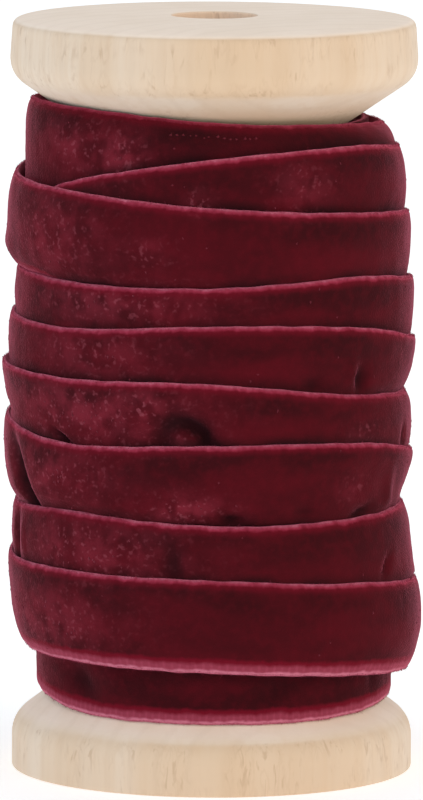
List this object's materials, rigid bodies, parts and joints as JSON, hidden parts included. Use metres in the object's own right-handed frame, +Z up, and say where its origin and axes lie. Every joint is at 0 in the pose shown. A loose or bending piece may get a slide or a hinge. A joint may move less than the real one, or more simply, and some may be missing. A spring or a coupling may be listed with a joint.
{
  "type": "roll of velvet ribbon on wooden spool",
  "caption": "Turned wooden spool standing on its end, wound with overlapping turns of dark red velvet ribbon, for keeping and paying out trimming.",
  "frame": {"origin": "centre of the spool's base, on the surface it stands on", "axes": "+Z up along the spool's bore; the front of the picture faces -Y, so +X is its right"},
  "size_m": [0.0468, 0.0455, 0.0836],
  "materials": {
    "pale_wood": "bare turned wood, sanded smooth and unvarnished",
    "red_velvet": "short dense pile with a pink sheen at grazing angles and firm woven edges"
  },
  "bodies": {
    "root": {"wooden_spool": "pale_wood", "ribbon_winding": "red_velvet"}
  },
  "joints": []
}
